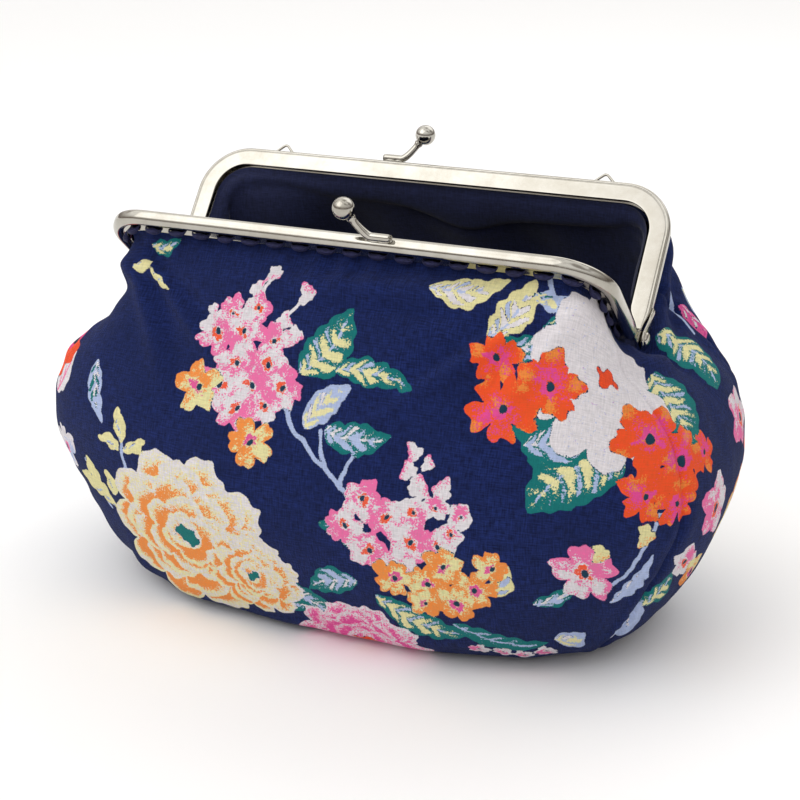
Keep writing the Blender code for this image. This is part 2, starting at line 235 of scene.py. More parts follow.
class Nodes:
    """Short names for the nodes that the materials are built from."""

    def __init__(self, tree):
        self.tree = tree

    def add(self, kind, **values):
        node = self.tree.nodes.new(kind)
        for key, value in values.items():
            setattr(node, key, value)
        return node

    def link(self, source, target):
        self.tree.links.new(source, target)

    def feed(self, socket, value):
        if isinstance(value, bpy.types.NodeSocket):
            self.link(value, socket)
        else:
            socket.default_value = value

    def math(self, operation, first, second=0.0, third=0.0, clamp=False):
        node = self.add("ShaderNodeMath", operation=operation, use_clamp=clamp)
        for socket, value in zip(node.inputs, (first, second, third)):
            self.feed(socket, value)
        return node.outputs[0]

    def mix(self, factor, first, second, blend="MIX"):
        node = self.add("ShaderNodeMix", data_type="RGBA", blend_type=blend)
        self.feed(node.inputs[0], factor)
        for socket, value in ((node.inputs[6], first), (node.inputs[7], second)):
            if isinstance(value, tuple):
                value = (*value, 1.0) if len(value) == 3 else value
            self.feed(socket, value)
        return node.outputs[2]

    def noise(self, vector, scale, detail=2.0, roughness=0.5):
        node = self.add("ShaderNodeTexNoise")
        self.feed(node.inputs["Vector"], vector)
        node.inputs["Scale"].default_value = scale
        node.inputs["Detail"].default_value = detail
        node.inputs["Roughness"].default_value = roughness
        return node.outputs["Fac"]

    def stretched(self, vector, scale):
        node = self.add("ShaderNodeMapping")
        self.feed(node.inputs["Vector"], vector)
        node.inputs["Scale"].default_value = scale
        return node.outputs[0]

    def remap(self, value, low, high, to_low=0.0, to_high=1.0):
        node = self.add("ShaderNodeMapRange")
        self.feed(node.inputs["Value"], value)
        node.inputs["From Min"].default_value = low
        node.inputs["From Max"].default_value = high
        node.inputs["To Min"].default_value = to_low
        node.inputs["To Max"].default_value = to_high
        return node.outputs[0]

    def bump(self, height, strength, distance):
        node = self.add("ShaderNodeBump")
        self.feed(node.inputs["Height"], height)
        node.inputs["Strength"].default_value = strength
        node.inputs["Distance"].default_value = distance
        return node.outputs[0]

    def attribute(self, name):
        return self.add("ShaderNodeAttribute", attribute_name=name)

    def split(self, vector):
        node = self.add("ShaderNodeSeparateXYZ")
        self.link(vector, node.inputs[0])
        return node.outputs

    def object_place(self):
        return self.add("ShaderNodeTexCoord").outputs["Object"]


def weave(nodes, cloth):
    """Plain weave with uneven threads: returns a height and a lightness variation."""
    across = nodes.noise(nodes.stretched(cloth, (1.9, 0.24, 1.0)), 1.0, 2.0)
    along = nodes.noise(nodes.stretched(cloth, (0.24, 1.9, 1.0)), 1.0, 2.0)
    parts = nodes.split(cloth)
    warp = nodes.math("SINE", nodes.math("MULTIPLY", parts[0], 2 * math.pi / 0.46))
    weft = nodes.math("SINE", nodes.math("MULTIPLY", parts[1], 2 * math.pi / 0.46))
    crossing = nodes.math("MULTIPLY", warp, weft)
    threads = nodes.math("ADD", across, along)
    height = nodes.math("MULTIPLY_ADD", crossing, 0.35, threads)
    return height, threads


# ---------------------------------------------------------------- materials

INKS = (
    ("teal", (0.008, 0.185, 0.180)),
    ("white", (0.810, 0.770, 0.800)),
    ("lilac", (0.450, 0.540, 0.790)),
    ("yellow", (0.840, 0.780, 0.400)),
    ("orange", (0.900, 0.270, 0.050)),
    ("red", (0.900, 0.088, 0.022)),
    ("pink", (0.870, 0.150, 0.390)),
    ("magenta", (0.790, 0.075, 0.330)),
    ("dark", (0.012, 0.050, 0.085)),
)


def printed_cotton():
    material, tree, shader = new_material("printed_cotton")
    nodes = Nodes(tree)
    cloth = nodes.attribute("cloth").outputs["Vector"]
    stipple = nodes.noise(cloth, 1.5, 2.0, 0.6)
    coarse = nodes.noise(cloth, 0.55, 2.0, 0.6)
    coarse = nodes.math("MULTIPLY", coarse, 0.35)
    grain = nodes.math("ADD", nodes.math("MULTIPLY", stipple, 0.65), coarse)
    grain = nodes.remap(grain, 0.34, 0.66, 0.12, 0.88)
    height, threads = weave(nodes, cloth)
    thread_share = nodes.remap(threads, 0.75, 1.25, 0.0, 1.0)
    patchy = nodes.noise(cloth, 0.035, 3.0)
    color = nodes.mix(thread_share, (0.0032, 0.0082, 0.050), (0.0115, 0.0255, 0.138))
    patches = nodes.remap(patchy, 0.35, 0.65, 0.0, 0.35)
    color = navy = nodes.mix(patches, color, (0.0042, 0.0100, 0.052))
    worn = nodes.remap(thread_share, 0, 1, 0.90, 1.0)
    channels = []
    for name in ("inks_a", "inks_b", "inks_c"):
        node = nodes.add("ShaderNodeSeparateColor")
        nodes.link(nodes.attribute(name).outputs["Color"], node.inputs[0])
        channels += list(node.outputs)[:3]
    for (_, ink), value in zip(INKS, channels):
        share = nodes.math("SUBTRACT", value, grain)
        share = nodes.remap(share, -0.07, 0.07, 0.0, 1.0)
        share = nodes.math("MULTIPLY", share, worn, clamp=True)
        color = nodes.mix(share, color, ink)
    # The outline against the bare cloth is crisp, frayed only by the threads
    fray = nodes.math("MULTIPLY_ADD", grain, 0.22, 0.39)
    cover = nodes.math("SUBTRACT", nodes.attribute("inks_a").outputs["Alpha"], fray)
    color = nodes.mix(nodes.remap(cover, -0.06, 0.06), navy, color)
    lit = nodes.remap(threads, 0.7, 1.3, 0.92, 1.08)
    shade = nodes.add("ShaderNodeHueSaturation")
    nodes.link(lit, shade.inputs["Value"])
    nodes.link(color, shade.inputs["Color"])
    finish_shader(nodes, shader, shade.outputs[0], nodes.bump(height, 0.8, 0.00030), {
        "Roughness": 0.88, "Sheen Weight": 0.03, "Sheen Roughness": 0.45,
        "Specular IOR Level": 0.14,
    })
    return material


def lining_cotton():
    material, tree, shader = new_material("lining_cotton")
    nodes = Nodes(tree)
    place = nodes.stretched(nodes.object_place(), (1000.0, 1000.0, 1000.0))
    across = nodes.noise(nodes.stretched(place, (2.6, 0.3, 0.3)), 1.0, 2.0)
    along = nodes.noise(nodes.stretched(place, (0.3, 0.3, 2.6)), 1.0, 2.0)
    threads = nodes.math("ADD", across, along)
    color = nodes.mix(
        nodes.remap(threads, 0.75, 1.25), (0.0062, 0.0088, 0.0330), (0.0135, 0.0185, 0.0660)
    )
    finish_shader(nodes, shader, color, nodes.bump(threads, 0.5, 0.0002), {
        "Roughness": 0.85, "Sheen Weight": 0.12, "Specular IOR Level": 0.2,
    })
    return material


def nickel():
    material, tree, shader = new_material("polished_nickel")
    nodes = Nodes(tree)
    place = nodes.object_place()
    smudge = nodes.noise(place, 90.0, 4.0, 0.6)
    fine = nodes.noise(place, 900.0, 3.0, 0.6)
    scratch = nodes.noise(nodes.stretched(place, (60.0, 2400.0, 2400.0)), 1.0, 2.0)
    tone = nodes.mix(nodes.remap(smudge, 0.35, 0.70), (0.470, 0.452, 0.408), (0.385, 0.362, 0.312))
    rough = nodes.remap(smudge, 0.30, 0.75, 0.07, 0.19)
    rough = nodes.math("ADD", rough, nodes.remap(scratch, 0.55, 0.80, 0.0, 0.10))
    nodes.link(rough, shader.inputs["Roughness"])
    scratch = nodes.math("MULTIPLY", scratch, 0.35)
    height = nodes.math("ADD", nodes.math("MULTIPLY", fine, 0.4), scratch)
    finish_shader(nodes, shader, tone, nodes.bump(height, 0.10, 0.0001), {"Metallic": 1.0})
    return material


def thick_thread():
    material, tree, shader = new_material("waxed_thread")
    nodes = Nodes(tree)
    place = nodes.object_place()
    fibres = nodes.noise(nodes.stretched(place, (700.0, 2600.0, 2600.0)), 1.0, 3.0)
    dark, light = (0.0075, 0.0085, 0.0320), (0.0270, 0.0280, 0.0950)
    color = nodes.mix(nodes.remap(fibres, 0.35, 0.68), dark, light)
    finish_shader(nodes, shader, color, nodes.bump(fibres, 0.8, 0.0002), {
        "Roughness": 0.70, "Specular IOR Level": 0.25,
    })
    return material


COTTON = printed_cotton()
LINING = lining_cotton()
NICKEL = nickel()
THREAD = thick_thread()


# ---------------------------------------------------------------- camera, light and stage

def add_camera():
    """At the picture's viewing angle, aimed so that the purse sits as it does there."""
    distance = 0.640
    place_azimuth, place_height = math.radians(24.525), math.radians(16.706)
    look_azimuth, look_height = math.radians(24.231), math.radians(19.898)
    data = bpy.data.cameras.new("camera")
    data.sensor_width = 36.0
    data.lens = 74.8
    camera = bpy.data.objects.new("camera", data)
    flat = math.cos(place_height)
    away = Vector((
        math.sin(place_azimuth) * flat, -math.cos(place_azimuth) * flat, math.sin(place_height)
    ))
    camera.location = Vector(HINGE) + away * distance
    camera.rotation_euler = (math.pi / 2 - look_height, 0.0, look_azimuth)
    bpy.context.scene.collection.objects.link(camera)
    bpy.context.scene.camera = camera


def add_light(name, place, size, power, target=(0, 0, 0.08)):
    data = bpy.data.lights.new(name, "AREA")
    data.size = size
    data.energy = power
    light = bpy.data.objects.new(name, data)
    light.location = place
    way = Vector(target) - Vector(place)
    light.rotation_euler = way.to_track_quat("-Z", "Y").to_euler()
    bpy.context.scene.collection.objects.link(light)


def add_stage():
    material, tree, shader = new_material("pale_floor")
    nodes = Nodes(tree)
    tone = nodes.noise(nodes.object_place(), 3.0, 2.0)
    color = nodes.mix(tone, (0.94, 0.94, 0.94), (0.95, 0.95, 0.95))
    nodes.link(color, shader.inputs["Base Color"])
    shader.inputs["Roughness"].default_value = 0.9
    size = 6.0
    corners = [(-size, -size, 0), (size, -size, 0), (size, size, 0), (-size, size, 0)]
    floor = mesh_piece("floor", corners, [(0, 1, 2, 3)], material)
    world = bpy.data.worlds.new("studio")
    world.use_nodes = True
    nodes = Nodes(world.node_tree)
    parts = nodes.split(nodes.add("ShaderNodeTexCoord").outputs["Generated"])
    height = nodes.remap(parts[2], 0.08, 0.58)
    turn = nodes.remap(parts[0], -0.8, 0.8, 1.50, 1.14)
    color = nodes.mix(height, (0.10, 0.070, 0.055), (1.0, 0.995, 0.985))
    # Pale again at the horizon, so that low views see no edge behind the floor
    color = nodes.mix(nodes.remap(parts[2], 0.03, 0.07, 1.0, 0.0), color, (0.90, 0.895, 0.885))
    boards = nodes.noise(nodes.add("ShaderNodeTexCoord").outputs["Generated"], 1.7, 1.0)
    raised = nodes.remap(parts[2], 0.05, 0.12)
    board = nodes.math("MULTIPLY", nodes.remap(boards, 0.36, 0.44, 0.75, 0.0), raised)
    color = nodes.mix(board, color, (0.16, 0.13, 0.11))
    background = world.node_tree.nodes["Background"]
    nodes.link(color, background.inputs["Color"])
    nodes.link(turn, background.inputs["Strength"])
    bpy.context.scene.world = world
    bpy.context.scene.view_settings.view_transform = "Standard"
    add_light("key", (-0.55, -0.85, 1.25), 1.2, 5.0)
    add_light("back", (0.25, 0.95, 1.10), 1.2, 3.0)


# ---------------------------------------------------------------- the printed design

class Print:
    """Levels of each ink over the cloth, laid motif by motif; p and q are in mm."""

    def __init__(self, p, q):
        # A slightly unsteady hand, so no outline is a perfect curve
        self.p = p + 0.42 * np.sin(q / 2.3 + 0.3 * p) + 0.20 * np.sin(q / 1.1 - p / 1.5)
        self.q = q + 0.42 * np.sin(p / 2.5 + 0.2 * q) + 0.20 * np.sin(p / 1.2 + q / 1.7)
        self.levels = np.zeros((p.size, len(INKS)))
        self.cover = np.zeros(p.size)
        self.index = {name: number for number, (name, _) in enumerate(INKS)}

    def near(self, p, q, reach):
        dp, dq = self.p - p, self.q - q
        chosen = np.nonzero((np.abs(dp) < reach) & (np.abs(dq) < reach))[0]
        return chosen, dp[chosen], dq[chosen]

    def lay(self, chosen, inside, levels, soft=0.8):
        """Print levels where inside (mm, positive within) says, knocking out what was there."""
        mask = np.clip(0.5 + inside / (2 * soft), 0, 1)
        # Over bare cloth the ink runs on past the outline, and the cover trims it there
        run_on = np.clip(0.5 + (inside + 2.0) / (2 * soft), 0, 1)
        mask_ink = np.maximum(mask, run_on * (self.cover[chosen] < 0.02))
        self.levels[chosen] *= (1 - mask_ink)[:, None]
        for name, level in levels.items():
            self.levels[chosen, self.index[name]] += mask_ink * level
        outline = np.clip(0.5 + inside / 2.4, 0, 1)
        self.cover[chosen] = np.maximum(self.cover[chosen], outline)

    def add(self, chosen, share, levels):
        """Stipple more ink over what is there."""
        for name, level in levels.items():
            column = self.index[name]
            self.levels[chosen, column] = np.maximum(self.levels[chosen, column], share * level)

    def flower(self, p, q, size, base, blush, eye, petals=5, turn=0.0, tall=1.0, gap=0.40, rim=0.0,
               blush_share=1.0, fleck=None, ruffle=1.0):
        chosen, dp, dq = self.near(p, q, size * 1.5)
        dq = dq / tall
        reach, angle = np.hypot(dp, dq), np.arctan2(dq, dp) + turn
        petal = np.abs(np.cos(angle * petals / 2)) ** 0.62
        petal = petal - 0.16 * hill(np.sin(angle * petals / 2), 0.22)
        wobble = 0.05 * np.sin(angle * 3 + p) + 0.045 * np.sin(angle * petals * 2 + q) * ruffle
        wobble = wobble + 0.03 * (ruffle - 1) * np.sin(angle * petals * 3 + 1.0)
        edge = size * (1 - gap + gap * petal + wobble)
        depth = reach / np.maximum(edge, 0.1)
        patch = np.sin(dp / 1.9 + q) * np.sin(dq / 2.3 + p)
        levels = {base: 1.0}
        if fleck:
            spot = np.sin(dp / 2.6 + q) * np.sin(dq / 2.9 + 1.3 * p)
            levels[fleck] = 1.0
            levels[base] = np.clip(0.74 + 0.55 * spot + 0.6 * (1 - petal), 0, 1)
        ray = np.abs(np.sin(angle * petals / 2))
        tint = (1.05 - depth) * 0.80 + 0.34 * (1 - petal) + 0.20 * patch
        tint = tint + 0.35 * (0.5 - ray) * (1 - depth)
        tint = tint + 0.25 * np.sin(angle - 1.0 + 0.7 * p)
        tint = tint + rim * smooth(0.62, 0.95, depth)
        levels[blush] = np.clip(tint * blush_share, 0, 0.88)
        self.lay(chosen, edge - reach, levels)
        heart = smooth(0.46, 0.14, depth + 0.16 * patch)
        self.levels[chosen, self.index[blush]] *= 1 - heart
        self.add(chosen, heart, {eye: 0.85})
        self.lay(chosen, size * 0.105 - np.hypot(dp - 0.3, dq * 0.8), {"dark": 1.0}, 0.5)

    def bud(self, p, q, size, base="white", blush="pink", turn=0.0):
        chosen, dp, dq = self.near(p, q, size * 1.6)
        reach, angle = np.hypot(dp, dq * 0.85), np.arctan2(dq, dp) + turn
        edge = size * (0.86 + 0.16 * np.cos(angle * 3) + 0.08 * np.sin(angle * 7))
        tint = np.clip(0.25 + 0.5 * np.sin(angle + 0.6) * reach / size, 0, 0.8)
        self.lay(chosen, edge - reach, {base: 1.0, blush: tint})

    def leaf(
        self, start, end, width, body="teal", side="yellow", streak="lilac", bend=0.12, ragged=0.5
    ):
        start, end = np.array(start, float), np.array(end, float)
        way, length = (end - start) / np.linalg.norm(end - start), np.linalg.norm(end - start)
        middle = (start + end) / 2
        chosen, dp, dq = self.near(middle[0], middle[1], length * 0.5 + width)
        along = (dp * way[0] + dq * way[1]) / length + 0.5
        across = -dp * way[1] + dq * way[0] - bend * length * 4 * along * (1 - along)
        safe = np.clip(along, 0, 1)
        edge = width * np.sin(math.pi * safe**0.85) ** 0.75
        lobes = np.abs(np.sin(safe * length * 0.50 + 0.9 * np.sign(across))) - 0.65
        edge = edge + 2.0 * ragged * lobes * smooth(0, 0.2, safe) * smooth(1, 0.8, safe)
        inside = np.where((along > 0) & (along < 1), edge - np.abs(across), -2.0)
        vein = np.abs(across) - 0.38
        share = across / np.maximum(edge, 0.4)
        # Side veins sweep from the middle towards the tip; the margin keeps the body ink
        sweep = 2 * math.pi * (safe * length / 5.4 - np.abs(share) * 1.05)
        stripes = 0.5 + 0.5 * np.sin(sweep + 0.8 * np.sin(7 * safe))
        field = smooth(0.90, 0.62, np.abs(share) + 0.10 * np.sin(sweep * 0.5))
        sunny = smooth(-0.9, 0.5, share)
        field = field * (0.30 + 0.70 * smooth(0.95, 0.50, safe + 0.15 * np.abs(share)))
        levels = {body: np.ones(len(chosen))}
        lit = field * (0.15 + 1.15 * stripes) * (0.45 + 0.60 * sunny)
        thin = field * smooth(0.45, 0.08, stripes) * (0.85 - 0.50 * sunny)
        for name, level in ((side, np.clip(lit, 0, 0.93)), (streak, np.clip(thin, 0, 0.70))):
            if name == body:
                continue
            if self.index[name] < self.index[body]:
                # This ink lies below the body ink, so the body gives way to it outright
                level = smooth(0.45, 0.60, level)
                levels[body] = levels[body] * (1 - level)
            levels[name] = level
        self.lay(chosen, inside, levels)
        line = smooth(0.5, -0.2, vein) * (inside > 0) * smooth(0.98, 0.8, safe)
        self.add(chosen, line, {streak: 0.85})

    def stem(self, points, width=0.85, ink="lilac"):
        points = resample(np.asarray(points, float), 40)
        middle, reach = points.mean(axis=0), np.ptp(points, axis=0).max() * 0.5 + 4
        chosen, dp, dq = self.near(middle[0], middle[1], reach)
        own = np.stack([dp + middle[0], dq + middle[1]], -1)
        gap = np.full(len(own), 1e3)
        for a, b in zip(points[:-1], points[1:]):
            leg = b - a
            share = np.clip(((own - a) @ leg) / (leg @ leg), 0, 1)
            gap = np.minimum(gap, np.linalg.norm(own - a - share[:, None] * leg, axis=1))
        self.lay(chosen, width - gap, {ink: 1.0}, 0.5)

    def peony(self, p, q, size, base="white", tint="yellow", shade="orange", heart="teal",
              tall=0.85, turn=0.0, faint=1.0):
        """Rows of ruffled petals, the widest laid first."""
        rows = ((1.0, 10), (0.83, 8), (0.66, 7), (0.50, 6), (0.35, 5), (0.21, 4))
        chosen, dp, dq = self.near(p, q, size * 1.35)
        dq = dq / tall
        for number, (scale, petals) in enumerate(rows):
            shift_p = 0.05 * size * math.sin(number * 2.1)
            shift_q = 0.04 * size * math.cos(number * 1.7)
            reach = np.hypot(dp - shift_p, dq - shift_q)
            angle = np.arctan2(dq - shift_q, dp - shift_p) + turn + number * 0.83
            petal = np.abs(np.cos(angle * petals / 2)) ** 0.60
            ruffle = 0.016 * np.sin(angle * petals * 3 + number)
            ruffle = ruffle + 0.010 * np.sin(angle * 31 + number)
            edge = size * scale * (0.77 + 0.22 * petal + ruffle)
            depth = reach / np.maximum(edge, 0.1)
            next_scale = rows[number + 1][0] / scale if number + 1 < len(rows) else 0.0
            low = smooth(1.0, next_scale * 0.90, depth)
            patch = 0.5 + 0.5 * np.sin(dp / 4.3 + number * 2.0) * np.sin(dq / 3.7 + number)
            sun = 0.5 + 0.5 * np.sin(np.arctan2(dq, dp) - 0.6)
            warm = np.clip(0.34 + 0.45 * low + 0.30 * sun * patch, 0, 1) * (0.18 + 0.82 * faint)
            deep = faint * (low * 1.1 + 0.40 * (1 - petal)) * (0.55 + 0.85 * patch * sun)
            levels = {base: 1.0, tint: warm, shade: np.clip(deep, 0, 0.85)}
            self.lay(chosen, edge - reach, levels, 0.6)
            rim = smooth(0.90, 0.97, depth) * (depth < 1.0)
            column = self.index[shade]
            self.levels[chosen, column] *= 1 - rim * 0.8
        heart_reach = np.hypot(dp, dq * 1.2) + 1.6 * np.sin(dp * 1.1) * np.sin(dq * 0.9)
        self.lay(chosen, size * 0.13 - heart_reach, {heart: 0.9}, 0.8)


WHITE_PINK = ("white", "pink", "red")
YELLOW_ORANGE = ("yellow", "orange", "magenta")
RED_MAGENTA = ("red", "magenta", "magenta")

# Leaf colours: body, side veins, streaks
GREEN = ("teal", "yellow", "lilac")
COOL = ("teal", "lilac", "white")
DEEP = ("teal", "teal", "lilac")
PALE = ("lilac", "yellow", "white")
CREAM = ("yellow", "white", "lilac")
STRAW = ("yellow", "yellow", "lilac")
SOFT = ("lilac", "yellow", "teal")

RED_STYLE = {"gap": 0.50, "blush_share": 0.72, "fleck": "orange", "ruffle": 1.9}


def beside(p, q, flip):
    """Gives places from their offsets to a motif's middle."""
    return lambda *pairs: [(p + flip * a, q + b) for a, b in pairs]


def scatter(sheet, p, q, flip, table, colors, **more):
    for number, (dp, dq, size) in enumerate(table):
        sheet.flower(p + flip * dp, q + dq, size, *colors, turn=1.3 * number, **more)


def pink_spray(sheet, p, q, flip=1):
    at = beside(p, q, flip)
    sheet.stem(at((16, 20), (24, 30), (38, 42), (47, 50)), 0.9)
    sheet.stem(at((19, 24), (17, 12)), 0.7)
    sheet.stem(at((37, 41), (33, 28)), 0.7)
    sheet.stem(at((43, 46), (47, 34)), 0.7)
    sheet.leaf(*at((22, 9), (40, -16)), 8.5, *GREEN, 0.10 * flip, 0.7)
    sheet.leaf(*at((36, 6), (66, 9)), 5.0, *GREEN, -0.08 * flip, 0.6)
    sheet.leaf(*at((27, 28), (43, 11)), 5.5, *PALE, -0.10 * flip, 0.4)
    sheet.leaf(*at((34, 27), (60, 26)), 6.0, *COOL, 0.10 * flip, 0.7)
    for a, b, c, d in ((6, -23, 1, -12), (20, -18, 13, -8), (-18, -10, -13, -4)):
        sheet.stem(at((a, b), (c, d)), 0.7, "white")
    for a, b, size in (
        (6, -25, 3.4), (1, -19, 3.4), (21, -19, 3.7), (-18, -10, 2.6), (14, -9, 3.3), (19, -4, 3.2)
    ):
        sheet.bud(p + flip * a, q + b, size, turn=a)
    table = (
        (-8, -9, 7.5), (-15, -2, 8.5), (2, -12, 6), (-3, -3, 9),
        (10, -1, 8), (-5, 9, 8), (9, 8, 8.5),
    )
    scatter(sheet, p, q, flip, table, WHITE_PINK, rim=0.42)
    table = ((16, 15, 8.5), (-10, 18, 9), (3, 16, 9), (-1, 25, 8.5), (10, 22, 7))
    scatter(sheet, p, q, flip, table, WHITE_PINK, gap=0.34, rim=0.46)
    sheet.flower(p - flip * 19, q + 19, 10.5, *YELLOW_ORANGE, turn=0.5, gap=0.52, rim=0.35)
    sheet.flower(p + flip * 7, q + 36, 9.5, *YELLOW_ORANGE, turn=2.0, gap=0.44, rim=0.6)


def tall_spray(sheet, p, q, flip=1):
    at = beside(p, q, flip)
    sheet.leaf(*at((-12, 14), (-34, 4)), 5.0, *GREEN, 0.1 * flip)
    sheet.leaf(*at((-20, 26), (-42, 36)), 6.0, *COOL, 0.1 * flip)
    sheet.leaf(*at((30, 24), (36, 10)), 3.5, "yellow", "lilac", "white", 0.1 * flip)
    for a, b, size in (
        (0, -27, 3.2), (-1, -20, 3.6), (6, -23, 2.8), (12, -15, 4.2), (3, -14, 4.2)
    ):
        sheet.bud(p + flip * a, q + b, size, turn=a + b)
    table = ((10, -8, 5.2), (19, -6, 5.0), (16, 1, 4.6), (2, -5, 6.0))
    scatter(sheet, p, q, flip, table, WHITE_PINK, gap=0.28)
    table = (
        (-17, -7, 8), (-24, 4, 7.5), (-8, -2, 7.5), (-15, 12, 8),
        (1, 6, 9), (-4, 16, 8), (11, 7, 7),
    )
    scatter(sheet, p, q, flip, table, WHITE_PINK, gap=0.26, rim=0.5)
    table = (
        (-6, 22, 8.5), (7, 22, 8), (24, 22, 8.5), (30, 12, 7),
        (17, 29, 8.5), (13, 14, 8), (5, 31, 7),
    )
    scatter(sheet, p, q, flip, table, YELLOW_ORANGE, rim=0.65)


def red_spray(sheet, p, q, flip=1):
    at = beside(p, q, flip)
    sheet.leaf(*at((-2, 22), (26, 10)), 9.0, *COOL, 0.1 * flip)
    white_bloom = ("white", "lilac", "pink", "red")
    sheet.peony(p + flip * 24, q - 8, 28, *white_bloom, tall=1.25, turn=0.4, faint=0.16)
    sheet.flower(p - flip * 15, q - 7, 9.5, *RED_MAGENTA, turn=0.4, **RED_STYLE)
    sheet.flower(p + flip * 4, q, 13, *RED_MAGENTA, turn=1.4, **RED_STYLE)
    sheet.flower(p - flip * 11, q + 10, 13, *RED_MAGENTA, turn=2.3, **RED_STYLE)


def rose_pink(sheet, p, q, size=11.5, turn=0.0):
    sheet.flower(p, q, size, *WHITE_PINK, turn=turn, gap=0.45, rim=0.6)
    sheet.bud(p + 0.4 * size, q - 0.75 * size, size * 0.3, "yellow", "orange")


def cream_peony(sheet, p, q, size, flip=1):
    at = beside(p, q, flip)
    sheet.leaf(*at((26, 16), (50, 24)), 6, *COOL, 0.1 * flip)
    sheet.stem(at((-27, -24), (-28, -38)), 0.8)
    sheet.stem(at((-45, 0), (-53, -22)), 0.8)
    for (a, b, c, d), width in (
        ((-28, -34, -31, -48), 2.9), ((-27, -32, -15, -37), 2.7), ((-29, -31, -41, -35), 2.9),
        ((-49, -8, -52, -24), 4.2), ((-40, -2, -62, -16), 4.6), ((-38, -8, -40, -20), 3.4),
    ):
        sheet.leaf(*at((a, b), (c, d)), width, *STRAW, 0.06 * flip, 0.5)
    sheet.peony(p, q, size, tall=0.92)
    sheet.peony(p + flip * 27, q + 12, size * 0.50, tall=1.0, turn=1.0)


# Single leaves, in mm of cloth: start, end, width, colours
LEAVES = {
    "front": (
        (-80, 8, -66, 3, 3.0, GREEN), (-84, 16, -77, 13, 2.2, STRAW),
        (-77, 15, -68, 23, 1.6, STRAW), (37, 11, 65, 4, 5.6, CREAM), (61, 25, 73, 2, 6.4, CREAM),
        (74, 8, 92, 9, 3.6, SOFT), (64, 28, 84, 22, 4.4, COOL),
        (92, 74, 70, 44, 9.0, ("teal", "teal", "teal")), (104, 28, 116, 44, 7.0, DEEP),
        (80, 20, 93, 10, 3.4, GREEN), (-98, 54, -90, 78, 4.0, ("lilac", "teal", "white")),
        (112, 62, 82, 84, 12.0, GREEN), (134, 22, 143, 56, 13.0, GREEN),
        (112, 118, 128, 94, 3.0, ("lilac", "lilac", "white")), (126, 122, 142, 106, 5.5, GREEN),
        (112, 140, 126, 120, 4.5, ("lilac", "lilac", "white")), (84, 122, 98, 112, 3.0, COOL),
        (90, 142, 102, 134, 4.0, PALE), (-20, 128, 12, 140, 7.0, COOL),
        (26, 126, 62, 140, 6.5, GREEN), (54, 134, 88, 144, 5.0, DEEP),
        (-130, 70, -118, 52, 5.0, ("white", "white", "pink")),
    ),
    "back": (
        (140, 10, 158, 38, 10.0, GREEN), (118, 24, 126, 40, 3.0, ("pink", "white", "magenta")),
        (108, 26, 114, 40, 3.0, SOFT), (-20, 12, 8, 22, 5.0, GREEN),
        (-60, 100, -84, 120, 7.0, GREEN), (20, 132, 52, 140, 6.0, COOL),
        (-140, 60, -124, 30, 6.0, PALE),
    ),
}


def printed(region, p, q):
    """The inks over one region; the motifs are placed one by one, in mm of cloth."""
    sheet = Print(p, q)
    for a, b, c, d, width, colors in LEAVES.get(region, ()):
        sheet.leaf((a, b), (c, d), width, *colors)
    if region == "front":
        sheet.stem([(78, 2), (84, 12), (92, 22)], 0.8)
        sheet.stem([(128, 78), (124, 92), (118, 104), (110, 112)], 0.8)
        sheet.flower(-124, 92, 11, "white", "lilac", "pink", turn=0.3)
        sheet.flower(-131, 50, 14, "red", "white", "magenta", turn=0.9)
        pink_spray(sheet, -29, 38)
        cream_peony(sheet, -52, 118, 42)
        sheet.peony(16, 157, 28, "white", "pink", "magenta", "red", tall=0.9)
        tall_spray(sheet, 40, 95)
        red_spray(sheet, 80, 39)
        for p0, q0, size in (
            (120, 52, 13.5), (134, 60, 11.5), (147, 57, 8.0), (121, 72, 9.0), (134, 74, 8.0)
        ):
            sheet.flower(p0, q0, size * 1.08, *RED_MAGENTA, turn=size, **RED_STYLE)
        rose_pink(sheet, 103, 106, 12.5, 0.5)
        sheet.bud(124, 86, 4.0, "yellow", "orange")
        sheet.flower(148, 101, 9, *WHITE_PINK, turn=0.3)
        sheet.flower(161, 77, 13, *WHITE_PINK, turn=0.3, rim=0.4)
        sheet.flower(161, 108, 10, *YELLOW_ORANGE, turn=1.3, rim=0.5)
        for number, p0 in enumerate((62, 70, 78, 86)):
            sheet.flower(p0, 150 + 2 * math.sin(number), 4.2, *WHITE_PINK, turn=number)
    elif region == "back":
        sheet.stem([(112, 18), (120, 22), (128, 30)], 0.9)
        sheet.flower(154, 58, 13, *WHITE_PINK, turn=1.3, rim=0.4)
        sheet.flower(160, 92, 10, *YELLOW_ORANGE, turn=0.3, rim=0.5)
        sheet.flower(140, 82, 12, *RED_MAGENTA, turn=0.6)
        red_spray(sheet, -60, 46, -1)
        pink_spray(sheet, 62, 40, -1)
        tall_spray(sheet, -6, 70, 1)
        cream_peony(sheet, 70, 112, 30, -1)
        sheet.peony(-104, 100, 24, "white", "pink", "magenta", "red")
        rose_pink(sheet, -150, 70, 12.0, 0.9)
        rose_pink(sheet, -46, 138, 11.0, 0.2)
    else:
        for number, (p0, q0) in enumerate(((-60, 385), (-20, 412), (25, 388), (66, 410))):
            sheet.leaf((p0 - 14, q0 + 8), (p0 + 10, q0 - 6), 6.0)
            rose_pink(sheet, p0, q0, 12.0, number)
    return sheet.levels, sheet.cover


